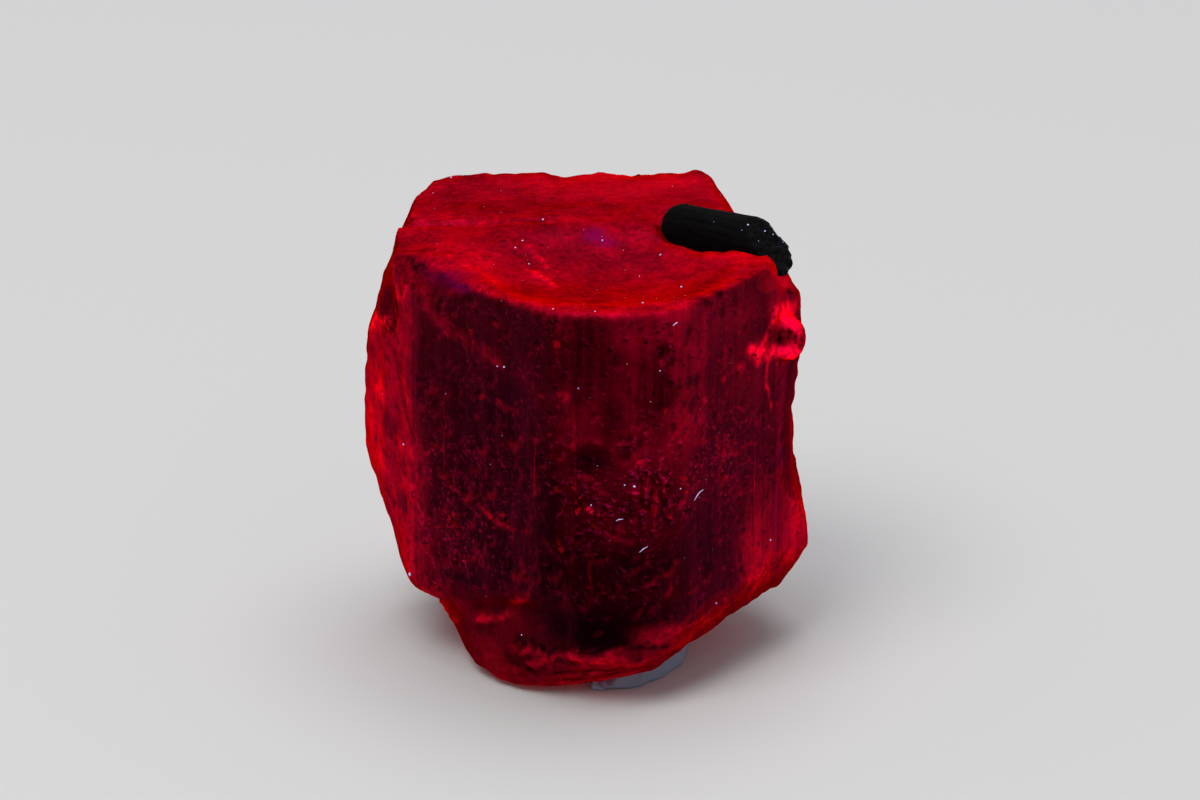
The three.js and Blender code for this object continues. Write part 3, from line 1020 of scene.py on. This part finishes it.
def etch(skin):
    """Pits the skin, and gives how etched each point of it is."""
    x, _, z = skin.points.T
    etched = np.zeros(len(x))
    for at_x, at_z, half_x, half_z in ETCHED:
        etched += np.exp(-(((x - at_x) / half_x) ** 2 + ((z - at_z) / half_z) ** 2))
    etched = np.clip(etched + 0.28, 0, 1) * np.clip(0.55 + 0.8 * skin.mottle, 0, 1.3)
    rng = np.random.default_rng(5)
    skin.pits(rng, skin.prism * skin.front * (0.06 + etched), 420, (0.08, 0.18), 0.05, 0.11)
    skin.pits(rng, skin.prism * (0.2 + skin.front) * (0.1 + etched), 90, (0.18, 0.32), 0.06, 0.10)
    skin.pits(rng, skin.prism * (1 - skin.front) + 0.01, 260, (0.09, 0.28), 0.05, 0.10)
    skin.pits(rng, (1 - skin.prism) * (1 - skin.top) + 0.001, 200, (0.08, 0.22), 0.05, 0.12, 1.2)
    return etched


def rounded_corner(points, corner, one, other, radius):
    """Turns an upright edge of the prism, between faces that look one way and the other, into a curve."""
    half = math.radians(abs(one - other)) / 2
    middle = direction((one + other) / 2)[:2]
    centre = np.array(corner) - middle * radius / math.cos(half)
    away = points[:, :2] - centre
    reach = np.hypot(*away.T)
    turn = np.arctan2(away @ np.array([-middle[1], middle[0]]), away @ middle)
    border = radius / np.cos(np.clip(half - np.abs(turn), 0, half))
    kept = 0.6 * radius
    inside = kept + (reach - kept) * (radius - kept) / (border - kept)
    scale = np.where((np.abs(turn) < half) & (reach > kept), inside / np.maximum(reach, 1e-6), 1.0)
    moved = points.copy()
    moved[:, :2] = centre + away * scale[:, None]
    return moved


def wear_edges(skin):
    """Rounds off the rims, and gives the upright edges in front and the breaks low down a wide soft turn."""
    soft = relaxed(skin.points, skin.edges, 5)
    skin.points += (soft - skin.points) * (0.85 * bell(skin.gap / 0.3))[:, None]
    soft = relaxed(skin.points, skin.edges, 60)
    low = smoothstep(5.0, 3.6, skin.points[:, 2]) * smoothstep(2.0, -1.0, skin.points[:, 1])
    skin.points += (soft - skin.points) * (low * bell(skin.gap / 0.9))[:, None]
    for corner, one, other, radius in UPRIGHT_EDGES:
        skin.points = rounded_corner(skin.points, corner, one, other, radius)


def swell_out(skin):
    """Fills out the back rim, the left side and the lower corners past the flat faces."""
    x, y, z = skin.points.T
    wave = Noise(41).layers(skin.points * [1, 0.2, 0.2], 1.6, 3, 0.6)
    rim = smoothstep(4.4, 6.3, y) * smoothstep(13.4, 15.2, z) * smoothstep(-6.4, -4.6, x)
    left = smoothstep(-4.6, -6.4, x) * smoothstep(3.6, 6.0, z) * smoothstep(-1.5, 0.8, y)
    right = smoothstep(3.2, 5.5, x) * smoothstep(6.0, 3.6, z)
    heel = smoothstep(1.6, 3.4, x) * smoothstep(2.9, 1.5, z)
    toe = smoothstep(-2.2, -3.6, x) * smoothstep(3.0, 1.8, z)
    ledge = smoothstep(-2.8, -4.6, x) * smoothstep(4.6, 3.0, z) * smoothstep(1.6, 2.4, z)
    across = 0.12 * right + 0.10 * heel - 0.24 * toe - (0.20 + 0.10 * wave) * left
    up = (0.26 + 0.3 * wave) * rim - 0.26 * right - 0.28 * ledge
    behind = smoothstep(-0.5, 2.5, y) * smoothstep(15.0, 13.6, z) * (1 - 0.7 * smoothstep(-6.0, -7.6, x))
    moved = np.stack([across, 0.10 * rim, up], axis=1)
    skin.points = skin.points + moved + 0.32 * drift(skin.points, 43, 2.6, 2) * behind[:, None]


def add_relief(skin):
    """Growth lines up the prism faces, grain and ripples on the breaks, and a gentle swell all over."""
    lines, chips, waves, ripples = Noise(11), Noise(23), Noise(37), Noise(53)
    points, prism, top, band = skin.points, skin.prism, skin.top, skin.band
    slow = points * [1, 1, 0.06]
    ribs = 0.035 * lines(slow, 1.9) + 0.022 * lines(slow + 40, 0.75) + 0.012 * lines(slow + 80, 0.33)
    skin.rise += prism * ribs
    skin.rise += 0.07 * waves(points, 3.4) + 0.035 * waves(points + 9, 1.5)
    skin.rise += (1 - prism) * (1 - top) * 0.10 * chips.layers(points, 1.6, 4, 0.6)
    skin.rise += top * (1 - band) * (0.05 * chips.layers(points, 1.9, 2, 0.5))
    skin.rise += top * (1 - band) * (0.010 * chips.layers(points + 3, 0.5, 2, 0.5))
    streaks = points * [0.16, 1, 1]
    grain = 0.02 * ripples(streaks, 0.55) + 0.016 * ripples(streaks + 7, 0.24)
    skin.rise += band * (grain + 0.05 * chips(points, 1.2))
    # The breaks' rims are chipped in small scallops.
    edge = np.exp(-skin.gap / 0.22) * (1 - 0.6 * prism)
    skin.rise -= edge * 0.10 * smoothstep(-0.1, 0.7, chips(points + 5, 0.9))
    skin.rise -= edge * 0.07 * smoothstep(0.0, 0.6, chips(points + 11, 0.4))


def fitted_to_rod(skin):
    """The skin's points raised, drawn up to the rod and eased round its groove."""
    raised = skin.points + skin.normals * skin.soft(skin.rise, 1)[:, None]
    along = np.clip((raised - ROD_FOOT) @ ROD_ALONG, 0, ROD_LENGTH)
    beside = smoothstep(1.9, 1.2, np.linalg.norm(raised - ROD_FOOT - np.outer(along, ROD_ALONG), axis=1))
    fitted = surface_of(ROD_PIECE).draw_in(raised, CRYSTAL_REACH)
    return fitted + (skin.soft(fitted, 10) - fitted) * beside[:, None]


class SCAPOLITE_OT_crystal(bpy.types.Operator):
    """Builds the clear red crystal over its CAD solid"""

    bl_idname = "scapolite.crystal"
    bl_label = "Crystal"

    def execute(self, context):
        settings = context.scene.scapolite_crystal
        net, skin = crystal_net(settings.voxel)
        light_faces(skin)
        mark(skin)
        etched = etch(skin)
        ripples = bite_ripples(skin)
        skin.rise += ripples
        # The glow follows the ripples: painted highlights on their crests, painted shade in their troughs.
        skin.glow *= 1 + 9 * ripples
        wear_edges(skin)
        swell_out(skin)
        add_relief(skin)
        move_points(net, fitted_to_rod(skin))
        frost = skin.soft(1 - skin.on_prism, 2) * (1 - 0.35 * skin.top) + 0.55 * skin.left
        # The painted shade, kept off the top.
        dark = np.clip(skin.dark * (1 - skin.top), 0, 1)
        prism = skin.prism * (1 - 0.65 * skin.left)
        glow = np.clip(skin.glow, 0, MOST_GLOW)
        kept = (glow, frost, prism, skin.band, etched * skin.prism, skin.violet, dark)
        for name, values in zip(SKIN_VALUES, kept):
            keep_values(net, name, values)
        shade(net, CRYSTAL_SHARP)
        piece_from(net, CRYSTAL_PIECE, scapolite_material(settings), CRYSTAL_NODE)
        return {"FINISHED"}


# ---- the rod and the putty ----


class SCAPOLITE_OT_rod(bpy.types.Operator):
    """Builds the black mineral rod with its granular broken end"""

    bl_idname = "scapolite.rod"
    bl_label = "Black rod"

    def execute(self, context):
        settings = context.scene.scapolite_rod
        net, solid = net_over(ROD_NODE, "rod_skin", settings.voxel)
        found = [solid.find_nearest(p) for p in points_of(net)]
        flat = np.array([f[1] for f in found])
        edges = edges_of(net)
        move_points(net, relaxed(np.array([f[0] for f in found]), edges, 6))
        points, normals = points_of(net), normals_of(net)
        broken = relaxed(flat @ ROD_BREAK_LOOK > 0.97, edges, 2)
        grains, ribs = Noise(5), Noise(9)
        along = (points - ROD_FOOT) @ ROD_ALONG
        stretched = points - np.outer(along * 0.9, ROD_ALONG)
        rise = 0.055 * ribs(stretched, 0.55) + 0.022 * ribs(stretched + 9, 0.2)
        rise += 0.030 * grains.layers(points, 0.3)
        rise += 0.15 + broken * (0.09 * grains(points, 0.4) + 0.05 * grains(points + 3, 0.17))
        move_points(net, points + normals * rise[:, None])
        keep_values(net, "broken", broken)
        shade(net, ROD_SHARP)
        piece_from(net, ROD_PIECE, black_mineral_material(settings), ROD_NODE)
        return {"FINISHED"}


class SCAPOLITE_OT_putty(bpy.types.Operator):
    """Builds the pressed lump of putty under the foot"""

    bl_idname = "scapolite.putty"
    bl_label = "Putty"

    def execute(self, context):
        settings = context.scene.scapolite_putty
        net, _ = net_over(PUTTY_NODE, "putty_skin", settings.voxel)
        move_points(net, relaxed(points_of(net), edges_of(net), 4))
        points, normals = points_of(net), normals_of(net)
        lumps = Noise(61)
        lift = 0.16 * lumps.layers(points, 2.0, 3, 0.5) + 0.05 * lumps(points + 5, 0.5)
        dents = smoothstep(0.35, 0.6, lumps(points + 11, 1.3))
        points += normals * (lift - 0.05 * dents)[:, None]
        points = surface_of(CRYSTAL_PIECE).draw_in(points, PUTTY_REACH)
        points[:, 2] = np.maximum(points[:, 2], 0.0)
        move_points(net, points)
        shade(net, PUTTY_SHARP)
        piece_from(net, "putty_lump", putty_material(settings), PUTTY_NODE)
        return {"FINISHED"}


# ---- flaws and dust ----

# Clusters of small curved cracks close under the front: across, up, how deep, and their spread.
CRACKS = (
    (2.1, 8.4, 0.4, 0.6), (3.3, 8.2, 0.45, 0.6), (-2.7, 11.3, 0.35, 0.45), (-0.6, 8.2, 0.45, 0.5),
    (4.4, 9.9, 0.4, 0.55), (5.2, 9.0, 0.4, 0.55), (-3.3, 6.6, 0.4, 0.6), (-1.4, 6.2, 0.45, 0.5),
    (4.9, 12.5, 0.35, 0.5), (-4.6, 13.2, 0.4, 0.6), (-5.0, 6.0, 0.35, 0.6),
)

# Curved sheets of tiny bubbles: the middle in mm, the way they look, half their width and height.
VEILS = (
    ((-1.5, -3.6, 8.8), (0.35, -0.8, 0.25), 2.4, 1.6),
    ((3.2, -2.4, 6.0), (-0.45, -0.8, -0.2), 1.8, 1.9), ((0.5, 1.5, 11.8), (0.2, -0.6, 0.7), 2.6, 1.6),
    ((-3.6, 2.8, 6.5), (-0.7, 0.5, 0.2), 2.0, 2.2), ((3.5, 3.6, 9.0), (0.6, 0.7, 0.1), 1.8, 2.4),
)

# How many of each flaw are tried: only those that fit inside the crystal are made.
CRACKS_IN_CLUSTER, LOOSE_CRACKS, TUBES, BUBBLES_IN_VEIL, DARK_GRAINS = 7, 70, 90, 170, 16

# Half the thickness of a crack and of a bubble, in mm.
FLAW_THIN = 0.010

# Lint and dust seen from the front and from above: a path for each fibre, a place and size for each speck.
FRONT_FIBRES = (
    ((3.84, 7.8), (3.94, 7.94), (4.04, 8.03), (4.16, 8.07)), ((1.04, 7.5), (1.16, 7.57), (1.3, 7.58)),
    ((1.88, 6.26), (2.02, 6.4), (2.18, 6.48)), ((3.05, 14.87), (3.15, 14.95), (3.22, 14.97)),
)
FRONT_SPECKS = (
    (-2.95, 12.7, 0.045), (-3.2, 12.65, 0.04), (-6.66, 8.0, 0.05), (-6.45, 3.0, 0.075),
    (4.66, 3.3, 0.05), (6.66, 4.75, 0.04), (-2.35, 2.2, 0.04), (1.35, 8.9, 0.04), (1.7, 8.85, 0.05),
    (0.15, 8.1, 0.035), (3.35, 8.5, 0.035), (-0.3, 12.6, 0.035), (2.6, 13.2, 0.035),
)
TOP_SPECKS = (
    (0.55, 1.5, 0.055), (2.66, 0.4, 0.05), (3.4, -2.6, 0.05), (2.0, -5.6, 0.05), (-2.35, 1.0, 0.045),
    (-2.6, 0.5, 0.035), (-2.1, -0.4, 0.035), (-5.0, 6.6, 0.06), (-1.6, 2.7, 0.05), (1.9, -0.8, 0.035),
    (-1.2, -6.2, 0.045), (0.3, -6.5, 0.04),
)
# The specks on the rod stand in for glints on it: painted highlights, made as glowing dust.
ROD_SPECKS = (
    (5.82, 16.1, 0.05), (6.44, 15.74, 0.045), (6.73, 15.59, 0.035), (7.1, 15.25, 0.03),
    (5.6, 15.95, 0.02), (6.2, 15.6, 0.022), (4.6, 16.0, 0.018),
)

# The half width of a fibre and of the finest dust, in mm, and how many specks of that lie on top and round.
FIBRE_THIN = 0.017
FINE_DUST = (0.009, 0.018)
FINE_ON_TOP, FINE_ROUND = 40, 50


def cracks_in(crystal, rng):
    """Clusters of small curved cracks under the front, and loose ones between them."""
    heap = Heap()
    for x, z, depth, spread in CRACKS:
        place, normal = crystal.from_front(x, z)
        for _ in range(CRACKS_IN_CLUSTER):
            centre = place - normal * depth + spread * 0.6 * rng.normal(size=3)
            look = unit(rng.normal(size=3) - normal * (rng.normal() * 0.2))
            size = spread * rng.uniform(0.12, 0.36)
            if crystal.holds(centre, size * 0.8):
                heap.flake(centre, look, np.array([size, size * 0.45, FLAW_THIN]), rng, bend=0.4 * size)
    for _ in range(LOOSE_CRACKS):
        place, normal = crystal.from_front(rng.uniform(-6.0, 6.6), rng.uniform(3.2, 14.2))
        centre = place - normal * rng.uniform(0.2, 1.6)
        across = unit(np.cross(normal, rng.normal(size=3)))
        look = unit(across + 0.35 * normal * rng.normal())
        size = rng.uniform(0.05, 0.20)
        if crystal.holds(centre, size * 0.9):
            heap.flake(centre, look, np.array([size, size * 0.5, FLAW_THIN]), rng, bend=0.4 * size)
    return heap


def tubes_in(crystal, rng):
    """Fine upright growth tubes."""
    heap = Heap()
    for _ in range(TUBES):
        foot = np.array([rng.uniform(-6.5, 7.0), rng.uniform(-6.0, 6.0), rng.uniform(3.0, 11.0)])
        head = foot + [rng.normal() * 0.02, rng.normal() * 0.02, rng.uniform(0.8, 4.5)]
        path = np.linspace(foot, head, 5)
        if all(crystal.holds(point, 0.15) for point in path):
            heap.tube(path, rng.uniform(0.010, 0.026))
    return heap


def bubbles_in(crystal, rng):
    """Curved veils of tiny flat bubbles."""
    heap = Heap()
    for centre, look, half_x, half_z in VEILS:
        look = unit(np.array(look))
        side = unit(np.cross(look, (0, 0, 1)))
        up = np.cross(side, look)
        for _ in range(BUBBLES_IN_VEIL):
            u, v = rng.normal(size=2) * 0.5
            bow = 0.35 * (u * u + 0.5 * v) + 0.06 * math.sin(9 * u)
            spot = np.array(centre) + side * u * half_x + up * v * half_z + look * bow
            size = rng.uniform(0.018, 0.06)
            if crystal.holds(spot, 0.1):
                reach = np.array([size, size * rng.uniform(0.4, 1), FLAW_THIN])
                heap.flake(spot, look + 0.2 * rng.normal(size=3), reach, rng, detail=1)
    return heap


def grains_in(crystal, rng):
    """A few dark grains."""
    heap = Heap()
    for _ in range(DARK_GRAINS):
        spot = np.array([rng.uniform(-5.5, 6.0), rng.uniform(-5.5, 4.0), rng.uniform(3.0, 14.0)])
        if crystal.holds(spot, 0.3):
            size = rng.uniform(0.05, 0.13)
            heap.flake(spot, rng.normal(size=3), np.array([size, size * 0.7, size * 0.6]), rng)
    return heap


class SCAPOLITE_OT_flaws(bpy.types.Operator):
    """Seals cracks, growth tubes, veils of tiny bubbles and dark grains inside the crystal"""

    bl_idname = "scapolite.flaws"
    bl_label = "Flaws"

    def execute(self, context):
        crystal = surface_of(CRYSTAL_PIECE)
        rng = np.random.default_rng(17)
        cracks_in(crystal, rng).piece("inner_cracks", flaw_material("crack_glow", (0.13, 0.002, 0.045), 0.3))
        tubes_in(crystal, rng).piece("growth_tubes", flaw_material("tube_glow", (0.16, 0.0, 0.015), 0.3))
        bubbles_in(crystal, rng).piece("bubble_veils", flaw_material("bubble_glow", (0.20, 0.002, 0.04), 0.2))
        rod_look = bpy.data.objects[ROD_PIECE].data.materials[0]
        grains_in(crystal, rng).piece("dark_grains", rod_look, "black_mineral")
        return {"FINISHED"}


class SCAPOLITE_OT_dust(bpy.types.Operator):
    """Lays lint fibres and specks of dust, glowing with painted light, on the crystal and the rod; the specks
    on the rod stand in for its glints
    """

    bl_idname = "scapolite.dust"
    bl_label = "Dust"

    def execute(self, context):
        crystal, rod = surface_of(CRYSTAL_PIECE), surface_of(ROD_PIECE)
        rng = np.random.default_rng(29)
        dust = Heap()
        for fibre in FRONT_FIBRES:
            path = [place + normal * 0.03 for place, normal in (crystal.from_front(x, z) for x, z in fibre)]
            dust.tube(path, FIBRE_THIN)
        spots = [(crystal.from_front(x, z), size) for x, z, size in FRONT_SPECKS]
        spots += [(crystal.from_above(x, y), size) for x, y, size in TOP_SPECKS]
        spots += [(rod.from_front(x, z), size) for x, z, size in ROD_SPECKS]
        for _ in range(FINE_ON_TOP):
            found = crystal.from_above(rng.uniform(-6, 6), rng.uniform(-6, 6))
            spots.append((found, rng.uniform(*FINE_DUST)))
        for _ in range(FINE_ROUND):
            look = direction(rng.uniform(-180, 180))
            start = np.array([0, 0, rng.uniform(2.5, 14.8)]) + look * SIDE_START
            spots.append((crystal.meet(start, -look), rng.uniform(*FINE_DUST)))
        for (place, normal), size in spots:
            reach = 0.85 * size * np.array([1.0, rng.uniform(0.6, 1.0), 0.6])
            dust.flake(place + normal * size * 0.45, normal, reach, rng, detail=1)
        dust.piece("dust", glowing_dust_material())
        return {"FINISHED"}


# ---- the stage ----

# Half the floor's width and how far it lies below the object, in mm.
FLOOR_HALF = 1500.0
FLOOR_DROP = 0.02

SKY_COLOR = (0.80, 0.82, 0.86, 1.0)
SKY_STRENGTH = 0.42

# The soft lights: name, azimuth and elevation, distance and width in metres, share of power, colour.
LIGHTS = (
    ("key", -128, 60, 0.45, 0.25, 1.0, (1.0, 0.98, 0.96)),
    ("overhead", 60, 80, 0.55, 0.45, 1.5, (0.97, 0.98, 1.0)),
)

CAMERA_ELEVATION = 22.0
CAMERA_LENS = 300.0
CAMERA_SENSOR = 36.0
# How wide a strip the picture takes in at the crystal, and the point that it is centred on, in mm.
VIEW_WIDTH = 43.68
VIEW_CENTRE = np.array([0.47, 0.0, 9.42])


def aimed(name, data, azimuth, elevation, distance):
    """Puts a light or a camera at a distance in metres from the middle of the view, turned towards it."""
    thing = bpy.data.objects.new(name, data)
    bpy.context.scene.collection.objects.link(thing)
    out = Vector(direction(azimuth, elevation))
    thing.location = Vector(VIEW_CENTRE * MM) + out * distance
    thing.rotation_mode = "QUATERNION"
    thing.rotation_quaternion = out.to_track_quat("Z", "Y")
    return thing


class SCAPOLITE_OT_stage(bpy.types.Operator):
    """Makes the pale floor, the soft lights, the sky and the camera"""

    bl_idname = "scapolite.stage"
    bl_label = "Stage"

    def execute(self, context):
        settings = context.scene.scapolite_stage
        scene = context.scene
        scene.view_settings.view_transform = "Standard"

        corners = [(-1, -1, 0), (1, -1, 0), (1, 1, 0), (-1, 1, 0)]
        floor = mesh_from("floor", np.array(corners) * FLOOR_HALF, [range(4)])
        floor.transform(Matrix.Scale(MM, 4))
        nodes = Nodes("pale_floor")
        nodes.surface({"Base Color": tuple(settings.floor_color), "Roughness": 0.6})
        floor.materials.append(nodes.material)
        ground = bpy.data.objects.new("floor", floor)
        ground.location.z = -FLOOR_DROP * MM
        scene.collection.objects.link(ground)
        ground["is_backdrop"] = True

        world = bpy.data.worlds.new("studio")
        world.use_nodes = True
        sky = world.node_tree.nodes["Background"]
        sky.inputs["Color"].default_value = SKY_COLOR
        sky.inputs["Strength"].default_value = SKY_STRENGTH
        scene.world = world

        for name, azimuth, elevation, distance, width, share, color in LIGHTS:
            data = bpy.data.lights.new(name, "AREA")
            data.shape = "DISK"
            data.size = width
            data.energy = settings.key_power * share
            data.color = color
            aimed(name, data, azimuth, elevation, distance)

        data = bpy.data.cameras.new("camera")
        data.lens = CAMERA_LENS
        data.sensor_width = CAMERA_SENSOR
        data.clip_start = 0.01
        data.clip_end = 10.0
        distance = VIEW_WIDTH * MM * CAMERA_LENS / CAMERA_SENSOR
        scene.camera = aimed("camera", data, FRONT, CAMERA_ELEVATION, distance)
        return {"FINISHED"}


# ---- the add-on ----

# The order matters: the crystal is fitted to the rod, and the putty and the rest to the crystal.
OPERATORS = (
    SCAPOLITE_OT_stage,
    SCAPOLITE_OT_rod,
    SCAPOLITE_OT_crystal,
    SCAPOLITE_OT_putty,
    SCAPOLITE_OT_flaws,
    SCAPOLITE_OT_dust,
)
SETTINGS = {
    "scapolite_crystal": ScapoliteCrystal,
    "scapolite_rod": ScapoliteRod,
    "scapolite_putty": ScapolitePutty,
    "scapolite_stage": ScapoliteStage,
}


class SCAPOLITE_PT_panel(bpy.types.Panel):
    """Lists the settings and the steps"""

    bl_label = "Scapolite"
    bl_idname = "SCAPOLITE_PT_panel"
    bl_space_type = "VIEW_3D"
    bl_region_type = "UI"
    bl_category = "Scapolite"

    def draw(self, context):
        for name, group in SETTINGS.items():
            box = self.layout.box()
            for key in group.__annotations__:
                box.prop(getattr(context.scene, name), key)
        for operator in OPERATORS:
            self.layout.operator(operator.bl_idname)


CLASSES = (*SETTINGS.values(), *OPERATORS, SCAPOLITE_PT_panel)


def register():
    for cls in CLASSES:
        bpy.utils.register_class(cls)
    for name, group in SETTINGS.items():
        setattr(bpy.types.Scene, name, PointerProperty(type=group))


def unregister():
    for name in SETTINGS:
        delattr(bpy.types.Scene, name)
    for cls in reversed(CLASSES):
        bpy.utils.unregister_class(cls)


def main():
    register()
    for operator in OPERATORS:
        family, name = operator.bl_idname.split(".")
        getattr(getattr(bpy.ops, family), name)()
    boxes = {"cad": CAD_BOX, "visual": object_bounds()}
    {key: [list(corner) for corner in box] for key, box in boxes.items()}


if __name__ == "__main__":
    main()
